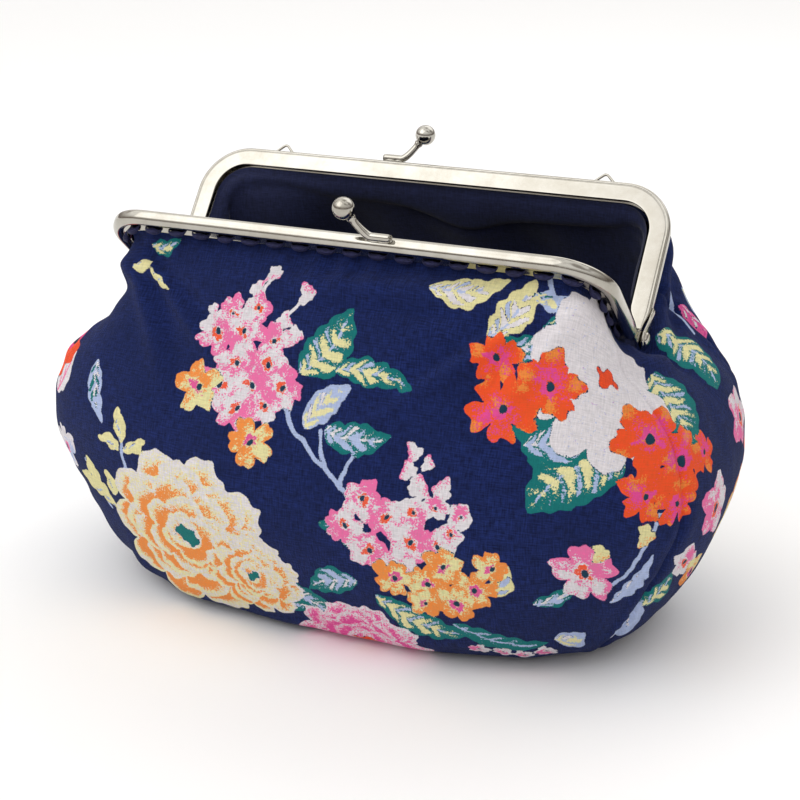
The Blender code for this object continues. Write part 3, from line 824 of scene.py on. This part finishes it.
# ---------------------------------------------------------------- the bag's outer form
# Plan at each height, in mm: height, half width, half depth, squareness
SECTIONS = np.array([
    (0, 93, 50, 2.4),
    (3, 103, 58, 2.4),
    (9, 111, 64, 2.5),
    (20, 119, 69, 2.6),
    (38, 128, 74, 2.8),
    (60, 135, 77, 3.0),
    (80, 134, 75, 3.0),
    (98, 125, 68, 3.0),
    (115, 112, 60, 3.0),
], float)
JOIN_MIDDLE = 92.0
JOIN_SIDE = 80.0
LIP_OUT = 3.4 * MM
LIP_DEPTH = 7.4 * MM
SEAM_SHARE = {"front": 0.118, "back": 0.104}
BOTTOM_SEAM = 39.0 * MM
GORE_INSET = 2.3 * MM
LINING_INSET = 4.4 * MM
LINING_FLOOR = 3.0 * MM
BLEND_REACH = 50.0 * MM


def plan(height):
    """Half width, half depth (metres) and squareness at the given heights (mm)."""
    table = [smooth_table(height, SECTIONS[:, 0], SECTIONS[:, k]) for k in (1, 2, 3)]
    return table[0] * MM, table[1] * MM, table[2]


def plan_point(angle, height, sign):
    """angle runs from 0 at the left side line to pi at the right one."""
    half_width, half_depth, square = plan(height)
    along, across = np.cos(angle), np.abs(np.sin(angle))
    reach = (np.abs(along) ** square + across**square) ** (-1 / square)
    x = -half_width * reach * along
    y = sign * half_depth * reach * across
    return np.stack(np.broadcast_arrays(x, y, height * MM), axis=-1)


def even_angles(count):
    """Angles that share the belly's half outline into equal lengths."""
    dense = np.linspace(0, math.pi, 2000)
    along = lengths_along(plan_point(dense, 60.0, -1))
    return np.interp(np.linspace(0, along[-1], count), along, dense)


def frame_edge(half, count, depth, out, saddle_drop):
    """The line where the fabric leaves the channel, from the left hinge to the right one."""
    x_arm = HALF_WIDTH_MM * MM - depth
    top = FRAME_TOP_MM * MM - depth
    bend = CORNER_MM * MM - depth + 1 * MM
    t = np.linspace(0, 1, 24)[:, None]
    start = np.array([-x_arm - 1.0 * MM, 0.0, HINGE[2] - saddle_drop])
    foot = half.place(-x_arm, out, ARM_START + 3 * MM)
    start_way = np.array([0.0, half.sign * 4 * MM, 0.0])
    foot_way = half.place(-x_arm, out, ARM_START - 2 * MM) - foot
    saddle = bezier(start, start + start_way, foot + foot_way, foot, t)
    angles = np.linspace(math.pi, math.pi / 2, 16)
    corner = half.place(
        -x_arm + bend + bend * np.cos(angles), out, top - bend + bend * np.sin(angles)
    )
    middle = half.place(0.0, out, top)[None]
    left = np.concatenate([saddle, corner, middle])
    right = left[::-1][1:] * np.array([-1, 1, 1])
    return resample(np.concatenate([left, right]), count)


def form(half, columns, rows, depth=LIP_DEPTH, out=LIP_OUT, saddle_drop=SADDLE_DROP, inset=0.0):
    """The bag's half as an even grid (rows, columns, 3), from the frame edge to the floor."""
    angles = even_angles(columns)
    share = np.linspace(0, 1, columns)
    side_share = np.minimum(share, 1 - share)
    edge = frame_edge(half, columns, depth, out, saddle_drop)
    join = JOIN_SIDE + (JOIN_MIDDLE - JOIN_SIDE) * smooth(0.05, 0.30, side_share)
    join_point = plan_point(angles, join, half.sign)
    up_way = join_point - plan_point(angles, join - 2.0, half.sign)
    up_way /= np.linalg.norm(up_way, axis=-1, keepdims=True)
    # It leaves the channel along the frame's outward normal, and sideways under the hinge
    outward = half.place(0.0, 1.0, 0.0) - half.place(0.0, 0.0, 0.0)
    sideways = np.stack([-np.cos(angles), 0 * angles, 0 * angles], axis=-1)
    sideness = 1 - smooth(0.0, 0.10, side_share)
    flare = np.where(share < 0.5, 0.05, 0.30) * smooth(0.45, 0.15, side_share)
    leave = outward[None] * (1 - sideness[:, None]) + sideways * (sideness + flare)[:, None]
    droop = np.where(share < 0.5, 0.95, 0.0) * smooth(0.42, 0.16, side_share)
    droop = droop * smooth(0.0, 0.06, side_share)
    leave = leave + droop[:, None] * (np.array([0.0, 0.0, -1.0]) - leave)
    leave /= np.linalg.norm(leave, axis=-1, keepdims=True)
    span = 0.46 * np.linalg.norm(join_point - edge, axis=-1, keepdims=True)
    t = np.linspace(0, 1, 140)[:, None, None]
    upper = bezier(edge, edge + leave * span, join_point + up_way * span, join_point, t)
    levels = np.linspace(1, 0, 160)[1:, None] * join[None]
    lower = plan_point(angles[None], levels, half.sign)
    curves = np.concatenate([upper, lower])
    grid = np.stack([resample(curves[:, c], rows) for c in range(columns)], axis=1)
    if inset:
        hold = smooth(0.0, 0.06, np.linspace(0, 1, rows))[:, None, None]
        grid = grid - outward_normals(grid, half) * inset * hold
        grid[..., 2] = np.maximum(grid[..., 2], inset)
    return grid


def outward_normals(grid, half):
    normal = grid_normals(grid)
    middle = normal[grid.shape[0] // 2, grid.shape[1] // 2]
    return normal if middle[1] * half.sign > 0 else -normal


def cloth_places(grid):
    """Pattern place of every point, in mm: along the row from its middle, down from the edge."""
    along = np.linalg.norm(np.diff(grid, axis=1), axis=-1)
    along = np.concatenate([np.zeros((grid.shape[0], 1)), np.cumsum(along, axis=1)], axis=1)
    p = (along - along[:, grid.shape[1] // 2][:, None]) / MM
    q = lengths_along(grid) / MM
    return p, q


def folds(half, p, q, share):
    """How far the fabric stands out from the smooth form, in mm."""
    mirror = 1.0 if half.name == "front" else -1.0
    p = p * mirror
    lie = np.exp(-q / 13.0)
    gathers = np.sin(p / 2.3 + 1.3 * np.sin(p / 11.0)) * (0.5 + 0.5 * np.sin(p / 17.0 + 1.0))
    height = 0.55 * gathers * hill(q - 7.0, 9.0)
    puff = 1.3 * hill(q - 14.0, 8.0) * (0.65 + 0.35 * np.sin(p / 19.0 + 0.6))
    height = height + puff - 1.5 * lie * hill(q - 3.0, 4.0)
    broad = np.sin(p / 19.0 + q / 31.0) + np.sin(p / 33.0 - q / 17.0 + 1.7)
    broad = broad + np.sin(q / 13.0 - p / 41.0)
    height = height + 0.62 * broad * smooth(8.0, 40.0, q)
    sag = np.sin((q - 11.0 + 2.5 * np.sin(p / 29.0)) / 2.5) * hill(q - 15.0, 11.0)
    height = height + 1.9 * sag * (0.62 + 0.38 * np.sin(p / 23.0 + 0.4))
    dents = np.sin(p / 7.3 + 1.2 * np.sin(q / 12.0)) * np.sin(q / 9.1 + 0.9 * np.sin(p / 15.0))
    height = height + 0.36 * dents * smooth(20.0, 60.0, q)
    slump = np.sin(p / 5.2 + 1.4 * np.sin(p / 14.0)) * smooth(112.0, 150.0, q)
    height = height + 0.55 * slump
    # Creases run down and inwards from each end of the frame
    for side, lean, strength in ((-1, 0.55, 3.0), (1, 0.55, 3.2), (-1, 1.15, 2.3), (1, 1.2, 2.5)):
        line = p - side * (96.0 - lean * q)
        crease = hill(line, 5.4) - 0.60 * hill(line + side * 9, 7.0)
        height = height + strength * crease * smooth(2.0, 14.0, q) * smooth(70.0, 26.0, q)
    side_share = np.minimum(share, 1 - share)
    seam = SEAM_SHARE[half.name]
    offset = (side_share - seam) * 350.0
    height = height - 1.15 * hill(offset, 1.1) + 0.7 * hill(np.abs(offset) - 4.5, 3.0)
    pucker = np.sin(q / 2.6 + 0.9 * np.sin(q / 9.0)) * hill(np.abs(offset) - 3.5, 3.0)
    height = height + 0.28 * pucker * smooth(6.0, 25.0, q)
    return height


def shaped_half(half):
    columns, rows = int(560 * FINE), int(252 * FINE)
    grid = form(half, columns, rows)
    p, q = cloth_places(grid)
    share = np.linspace(0, 1, columns)[None] + 0 * q
    height = folds(half, p, q, share)
    # Both halves meet unmoved at the side line, the frame's edge and the floor
    side_share = np.minimum(share, 1 - share)
    hold = smooth(0.0, 0.03, side_share) * smooth(0.0, 2.0, q)
    hold = hold * smooth(0.0, 9.0, grid[..., 2] / MM)
    grid = grid + outward_normals(grid, half) * (height * hold * MM)[..., None]
    grid[..., 2] = np.maximum(grid[..., 2], 0.0)
    return grid, p, q


def blended(piece, half):
    """Bakes the piece's placement into its points; the hinge and the point below are worked out
    but not used.
    """
    hinge = half.place(0.0, 0.0, 0.0)
    below = half.place(0.0, BLEND_REACH, 0.0)
    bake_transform(piece)


def declare_upright(nodes):
    """Hides the CAD parts that the cloth stands in for."""
    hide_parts(*nodes)


def lay_bottom(name, grid, material, node):
    """The cloth that closes a pouch at the floor; grid runs from its rim inwards."""
    piece = mesh_piece(name, grid, closed_faces(*grid.shape[:2], first=False), material)
    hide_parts(node)
    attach(piece, "bag")
    return piece


def set_attribute(piece, name, kind, values):
    layer = piece.data.attributes.new(name, kind, "POINT")
    field = "color" if kind == "FLOAT_COLOR" else "vector"
    layer.data.foreach_set(field, np.ascontiguousarray(values, np.float32).ravel())


def dress(piece, p, q, inks, cover):
    """Store the cloth place and the ink levels that the print material reads."""
    place = np.stack([p.ravel(), q.ravel(), 0 * p.ravel()], axis=-1)
    set_attribute(piece, "cloth", "FLOAT_VECTOR", place)
    for number, name in enumerate(("inks_a", "inks_b", "inks_c")):
        levels = np.ones((p.size, 4))
        levels[:, :3] = inks[:, number * 3:number * 3 + 3]
        levels[:, 3] = cover.ravel()
        set_attribute(piece, name, "FLOAT_COLOR", levels)


def build_outer_fabric():
    rings = []
    for half in HALVES:
        grid, p, q = shaped_half(half)
        columns = grid.shape[1]
        inks, cover = printed(half.name, p.ravel(), q.ravel())
        inks, cover = inks.reshape(*p.shape, len(INKS)), cover.reshape(p.shape)
        seam = int(round(SEAM_SHARE[half.name] * (columns - 1)))
        cuts = (
            ("gusset_left_" + half.name, 0, seam),
            ("panel_" + half.name, seam, columns - 1 - seam),
            ("gusset_right_" + half.name, columns - 1 - seam, columns - 1),
        )
        for name, first, last in cuts:
            part = slice(first, last + 1)
            own = grid[:, part]
            faces = grid_faces(own.shape[0], own.shape[1])
            if half.sign < 0:
                faces = faces[:, ::-1]
            piece = mesh_piece(name, own, faces, COTTON)
            own_inks = inks[:, part].reshape(-1, len(INKS))
            dress(piece, p[:, part], q[:, part], own_inks, cover[:, part])
            outer = "outer_" + half.name
            is_panel = name.startswith("panel")
            nodes = (outer + "_panel", outer + "_upper") if is_panel else ("outer_gusset",)
            declare_upright(nodes)
            blended(piece, half)
        rings.append((grid[-1] if half.sign < 0 else grid[-1][::-1])[:-1])
    # The bottom closes the ring on the floor, flat but for its two seams
    scales = np.linspace(1, 0.02, 34)[:, None, None]
    grid = np.concatenate(rings)[None] * scales
    grid[..., 2] = 0.0
    offset = np.abs(grid[..., 1]) - BOTTOM_SEAM
    seam_height = 0.9 * MM * hill(offset, 1.4 * MM)
    grid[..., 2] += seam_height * smooth(1.0, 0.93, scales[..., 0])
    piece = lay_bottom("gusset_bottom", grid, COTTON, "outer_gusset")
    p, q = grid[..., 0] / MM, 400 + grid[..., 1] / MM
    dress(piece, p, q, *printed("bottom", p.ravel(), q.ravel()))


def build_side_gores():
    """Cloth folded in behind each side line, which shows when the closing halves part there."""
    columns, rows = int(420 * FINE), int(150 * FINE)
    wide = int(0.046 * columns)
    forms = [
        form(half, columns, rows, inset=GORE_INSET)[int(0.03 * rows):int(0.68 * rows)]
        for half in HALVES
    ]
    for side, name in ((-1, "left"), (1, "right")):
        front, back = [(own if side < 0 else own[:, ::-1])[:, :wide] for own in forms]
        middle = (front[:, :1] + back[:, :1]) / 2
        grid = np.concatenate([front[:, :0:-1], middle, back[:, 1:]], axis=1)
        faces = grid_faces(grid.shape[0], grid.shape[1])
        if grid_normals(grid)[..., 0].mean() * side < 0:
            faces = faces[:, ::-1]
        piece = mesh_piece("side_gore_" + name, grid, faces, COTTON)
        p, q = cloth_places(grid)
        p, q = side * (176.0 + p), q + 6.0
        dress(piece, p, q, *printed("front", p.ravel(), q.ravel()))
        declare_upright(("outer_gusset",))
        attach(piece, "bag")


def build_lining():
    """Dark lining: the same form, a little inside, with slack folds of its own."""
    rings = []
    for half in HALVES:
        columns, rows = int(260 * FINE), int(130 * FINE)
        grid = form(half, columns, rows, 8.6 * MM, 1.5 * MM, 4.5 * MM, LINING_INSET)
        p, q = cloth_places(grid)
        share = np.linspace(0, 1, columns)[None]
        side_share = np.minimum(share, 1 - share)
        slack = 1.3 + np.sin(p / 13.0 + 1.1 * np.sin(q / 21.0)) + 0.6 * np.sin(p / 6.1 - q / 23.0)
        height = 1.9 * slack * smooth(4.0, 24.0, q) * smooth(0.0, 0.05, side_share)
        droop = 11.0 + 4.5 * np.sin(p / 26.0 + 0.8) + 1.5 * np.sin(p / 9.0)
        hem = 2.0 * smooth(0.0, 5.0, q) * smooth(droop + 1.5, droop - 1.5, q)
        height = (height + hem * smooth(0, 0.05, side_share)) * MM
        grid = grid - outward_normals(grid, half) * height[..., None]
        grid[..., 2] = np.maximum(grid[..., 2], LINING_FLOOR)
        faces = grid_faces(rows, columns)
        if half.sign < 0:
            faces = faces[:, ::-1]
        piece = mesh_piece("lining_" + half.name, grid, faces, LINING)
        declare_upright(("lining_" + half.name + "_upper", "lining_cup"))
        blended(piece, half)
        rings.append((grid[-1] if half.sign < 0 else grid[-1][::-1])[:-1])
    grid = np.concatenate(rings)[None] * np.linspace(1, 0.04, 20)[:, None, None]
    grid[..., 2] = LINING_FLOOR
    lay_bottom("lining_bottom", grid, LINING, "lining_cup")


# ---------------------------------------------------------------- metalwork
# Folded channel, upright: depth from the outer edge and distance out, in mm
CHANNEL = [
    (7.6, 0.25), (7.75, 0.55), (7.6, 0.85), (7.0, 0.80), (2.0, 0.80), (1.0, 1.2), (0.9, 2.4),
    (1.3, 3.2), (3.0, 3.3), (4.1, 3.1), (7.4, 4.4), (7.75, 4.6), (8.0, 4.95), (7.9, 5.35),
    (7.5, 5.35), (7.1, 5.1), (4.6, 4.15), (4.2, 4.25), (3.9, 4.7), (3.4, 5.3), (2.7, 5.6),
    (1.9, 5.55), (1.1, 5.15), (0.4, 4.4), (0.0, 3.5), (-0.1, 2.4), (-0.05, 1.2), (0.25, 0.55),
    (0.75, 0.25), (1.15, 0.25), (1.3, 0.40), (1.5, 0.40), (1.65, 0.25), (2.2, 0.22), (7.2, 0.22),
]


def frame_path(depth, corner_steps=28, arm_steps=26, bar_steps=40):
    """Points (x, up) round the U at the given depth from its outer edge, in mm."""
    half, top, bend = HALF_WIDTH_MM - depth, FRAME_TOP_MM - depth, max(CORNER_MM - depth, 1.0)
    ups = np.linspace(ARM_END_MM, top - bend, arm_steps)[:-1]
    angles = np.linspace(math.pi, math.pi / 2, corner_steps)
    corner_x, corner_up = -half + bend + bend * np.cos(angles), top - bend + bend * np.sin(angles)
    corner = np.stack([corner_x, corner_up], -1)
    arm = np.stack([np.full(len(ups), -half), ups], -1)
    bar_x = np.linspace(-half + bend, half - bend, bar_steps)[1:-1]
    bar = np.stack([bar_x, np.full(len(bar_x), top)], -1)
    mirrored = np.concatenate([arm, corner])[::-1] * np.array([-1, 1])
    return np.concatenate([arm, corner, bar, mirrored])


def build_frame_metal(half, ear_x):
    section = rounded(CHANNEL, 2)
    rings = []
    for depth, out in section:
        path = frame_path(depth)
        x, up = path[:, 0], path[:, 1]
        # The ends of the arms narrow towards the hinge
        narrow = smooth(ARM_END_MM, 12.5, up)
        centre_depth = 2.4
        own_depth = centre_depth + (depth - centre_depth) * (0.22 + 0.78 * narrow)
        x = np.sign(x) * (np.abs(x) + depth - own_depth)
        own_out = 0.22 + (out - 0.22) * (0.42 + 0.58 * narrow)
        rings.append(half.turned(np.stack([x, own_out, up], -1) * MM))
    grid = np.stack(rings, axis=1)
    faces = closed_faces(*grid.shape[:2])
    parts = [(grid, faces)]
    for side in (-1, 1):
        parts.append(ear(half, side, ear_x))
    points, faces = join_parts(parts)
    piece = mesh_piece("metal_frame_" + half.name, points, faces, NICKEL)
    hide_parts(half.name + "_frame")
    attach(piece, half.body)
    return piece


def ear(half, side, inner_x):
    """The hinge plate: round about the rivet, with a tail into the arm; softened edges."""
    radius, tail, start, end, out = 3.9, 1.7, 8.6, 13.0, 2.4
    reach, lean = math.hypot(start, out), math.atan2(out, start)
    tangent = math.acos((radius - tail) / reach)
    angles = lean + tangent + (2 * math.pi - 2 * tangent) * np.linspace(0, 1, 36)
    outline = [(radius * math.sin(angle), radius * math.cos(angle)) for angle in angles]
    outline += [(out - tail, start), (out - tail, end), (out + tail, end), (out + tail, start)]
    outline = np.array(outline)
    middle = np.array([out * 0.4, 3.0])
    rows = []
    softened = ((0.0, 0.90), (0.05, 0.97), (0.25, 1.0), (0.75, 1.0), (0.95, 0.97), (1.0, 0.90))
    for offset, shrink in softened:
        ring = middle + (outline - middle) * shrink
        x = np.full(len(ring), side * (inner_x + offset))
        rows.append(half.place(x * MM, ring[:, 0] * MM, ring[:, 1] * MM))
    grid = np.stack(rows)
    faces = closed_faces(*grid.shape[:2])
    if side * half.sign < 0:
        faces = [face[::-1] for face in faces]
    return grid, faces


def build_stitches(half):
    """Thick bundles of thread that dip into every second hole of the flange."""
    count, depth, start = 52, 5.9, 13.5
    path = frame_path(depth, 40, 60, 200)
    path = path[(path[:, 1] >= start) | (np.abs(path[:, 0]) < 80)]
    holes = resample(path, count)
    parts = []
    for number in range(0, count - 1, 2):
        a, b = holes[number], holes[number + 1]
        centre, way = (a + b) / 2, (b - a) / np.linalg.norm(b - a)
        shift = 0.25 * math.sin(number * 2.3)
        turn = 0.05 * math.sin(number * 1.7)
        cos, sin = math.cos(turn), math.sin(turn)
        way = np.array([way[0] * cos - way[1] * sin, way[0] * sin + way[1] * cos])
        t = np.linspace(-1, 1, 15)
        reach = 3.85 + 0.2 * math.sin(number * 1.1)
        bow = 5.45 + 0.55 * (1 - t**4) - 1.1 * t**6
        spine = np.stack([centre[0] + way[0] * t * reach, bow, centre[1] + way[1] * t * reach], -1)
        spine[:, [0, 2]] += shift * np.array([-way[1], way[0]]) * 0.6
        thick = 1.42 + 0.1 * math.sin(number * 0.9)
        radii = thick * np.clip(1 - (np.abs(t) * 0.985) ** 2.0, 0.02, 1) ** 0.85
        points, faces = tube(spine, radii, 20, up=(0, 1, 0), flat=0.74, lobes=4, lobe_depth=0.075)
        parts.append((half.turned(points * MM), faces))
    points, faces = join_parts(parts)
    piece = mesh_piece("stitches_" + half.name, points, faces, THREAD)
    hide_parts(half.name + "_stitching")
    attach(piece, half.body)


def ball_points(centre, radius, rings=24, sides=40):
    lat = np.linspace(0, math.pi, rings)
    lon = np.linspace(0, 2 * math.pi, sides, endpoint=False)
    lat, lon = np.meshgrid(lat[1:-1], lon, indexing="ij")
    flat = np.sin(lat)
    grid = np.stack([flat * np.cos(lon), flat * np.sin(lon), np.cos(lat)], -1) * radius
    count = grid.shape[0] * sides
    points = np.concatenate([grid.reshape(-1, 3), [[0, 0, radius], [0, 0, -radius]]]) + centre
    faces = grid_faces(grid.shape[0], sides, wrap=True).tolist()
    faces += [[count, (k + 1) % sides, k] for k in range(sides)]
    low = (grid.shape[0] - 1) * sides
    faces += [[count + 1, low + k, low + (k + 1) % sides] for k in range(sides)]
    return points, faces


def build_clasp(half):
    """A bent rod on the bar with a ball on its tip, a collar under it and solder below."""
    over = -2.6 if half is FRONT else 0.0
    ball, radius, slope = np.array([6.2, over, 74.1]), 4.0, math.radians(60)
    rod = 1.45
    lying = 62.0 + rod + 0.25
    slant = (ball[2] - lying) / math.sin(slope)
    approach = np.array([math.cos(slope), (1.9 - over) / slant, -math.sin(slope)])
    approach /= np.linalg.norm(approach)
    tip = ball + approach * (radius - 0.4)
    elbow = tip + approach * (lying - tip[2]) / approach[2]
    elbow[1] = 1.9
    start, bend = np.array([22.0, 1.9, lying]), np.array([14.6, 1.9, lying])
    t = np.linspace(0, 1, 22)[:, None]
    curve = (1 - t) ** 2 * bend + 2 * t * (1 - t) * elbow + t * t * tip
    lead = start + (bend - start) * np.linspace(0, 1, 8)[:-1, None]
    points = np.concatenate([lead, curve])
    along = lengths_along(points)
    left = along[-1] - along
    radii = rod * (1 - 0.10 * smooth(9.0, 2.5, left)) + 0.55 * hill(left - 0.6, 0.7)
    radii = radii * (1 - 0.12 * hill(along, 0.35))
    rod_mesh = tube(points, radii, 28)
    solder = []
    for place, size in ((18.8, 1.9), (15.2, 1.5)):
        blob, blob_faces = ball_points(np.zeros(3), 1.0, 12, 20)
        blob = blob * np.array([size * 1.5, 1.5, 0.75]) + np.array([place, 1.9, 62.15])
        solder.append((blob, blob_faces))
    for name, parts, node in (
        ("clasp_rod_", [rod_mesh] + solder, "_clasp_stem"),
        ("clasp_ball_", [ball_points(ball, radius)], "_clasp_ball"),
    ):
        points, faces = join_parts(parts)
        piece = mesh_piece(name + half.name, half.turned(points * MM), faces, NICKEL)
        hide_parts(half.name + node)
        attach(piece, half.body)


WIRE_RADIUS = 0.55 * MM
# The wire's triangle and the reach of its bends, in mm
WIRE_CORNERS = ((-8.6, 0.0), (8.6, 0.0), (0.0, 8.2))
WIRE_BEND = 1.5


def build_loops():
    """Bent wire triangles behind the back bar."""
    for name in ("left", "right"):
        pivot = np.array(JOINTS[name + "_loop_swing"]["pos_m"])
        corners = np.array(WIRE_CORNERS)
        points = []
        for number, corner in enumerate(corners):
            before = corners[number - 1] - corner
            after = corners[(number + 1) % 3] - corner
            before, after = before / np.linalg.norm(before), after / np.linalg.norm(after)
            t = np.linspace(0, 1, 7)[:, None]
            a, b = corner + before * WIRE_BEND, corner + after * WIRE_BEND
            points.append((1 - t) ** 2 * a + 2 * t * (1 - t) * corner + t * t * b)
        loop = np.concatenate(points)
        loop = resample(np.concatenate([loop, loop[:1]]), 90)[:-1]
        way = BACK.place(0.0, 0.0, 1.0) - BACK.place(0.0, 0.0, 0.0)
        flat = pivot + np.outer(loop[:, 0] * MM, [1, 0, 0]) + np.outer(loop[:, 1] * MM, way)
        sides = 12
        tangent = np.roll(flat, -1, axis=0) - np.roll(flat, 1, axis=0)
        tangent /= np.linalg.norm(tangent, axis=1, keepdims=True)
        out = BACK.place(0.0, 1.0, 0.0) - BACK.place(0.0, 0.0, 0.0)
        across = np.cross(tangent, out)
        angle = np.linspace(0, 2 * math.pi, sides, endpoint=False)
        ring = np.cos(angle)[None, :, None] * out + np.sin(angle)[None, :, None] * across[:, None]
        grid = flat[:, None] + ring * WIRE_RADIUS
        index = np.arange(len(flat) * sides).reshape(len(flat), sides)
        index = np.concatenate([index, index[:1]])
        index = np.concatenate([index, index[:, :1]], axis=1)
        faces = np.stack([index[:-1, :-1], index[1:, :-1], index[1:, 1:], index[:-1, 1:]], -1)
        piece = mesh_piece("wire_loop_" + name, grid, faces.reshape(-1, 4), NICKEL)
        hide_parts("chain_loop_" + name)
        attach(piece, name + "_loop")


# Rivet outline, in mm: radius, distance from the inner end
RIVET = (
    (0.06, 0.0), (2.4, 0.02), (2.91, 0.12), (3.0, 0.35), (2.91, 0.9), (1.4, 0.95), (1.4, 3.6),
    (2.9, 3.65), (3.0, 3.8), (2.95, 4.2), (2.6, 4.65), (1.9, 5.0), (1.0, 5.18), (0.03, 5.22),
)


def build_rivets():
    """A domed head outside the ears, a flat one inside, and the shaft between."""
    for side, name in ((-1, "left"), (1, "right")):
        low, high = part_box("hinge_rivet_" + name)
        inner = (low[0] if side > 0 else -high[0]) / MM
        outer = (high[0] if side > 0 else -low[0]) / MM
        scale = (outer - inner) / RIVET[-1][1]
        sides = 36
        angle = np.linspace(0, 2 * math.pi, sides, endpoint=False)
        rings = []
        for radius, x in RIVET:
            ring = np.stack([
                np.full(sides, side * (inner + x * scale)),
                radius * np.cos(angle), radius * np.sin(angle),
            ], -1)
            rings.append(ring * MM + np.array([0, 0, HINGE[2]]))
        grid = np.stack(rings)
        faces = grid_faces(grid.shape[0], sides, wrap=True)
        if side > 0:
            faces = faces[:, ::-1]
        piece = mesh_piece("rivet_" + name, grid, faces, NICKEL)
        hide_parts("hinge_rivet_" + name)
        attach(piece, "bag")


# ---------------------------------------------------------------- making it all

add_camera()
add_stage()
build_outer_fabric()
build_side_gores()
build_lining()
build_frame_metal(FRONT, 98.6)
build_frame_metal(BACK, 99.9)
for half in HALVES:
    build_stitches(half)
    build_clasp(half)
build_loops()
build_rivets()
for name in ("loop_lug_left", "loop_lug_right"):
    node = frame["nodes"][name]
    for place in range(len(node.material_slots)):
        node.material_slots[place].material = NICKEL
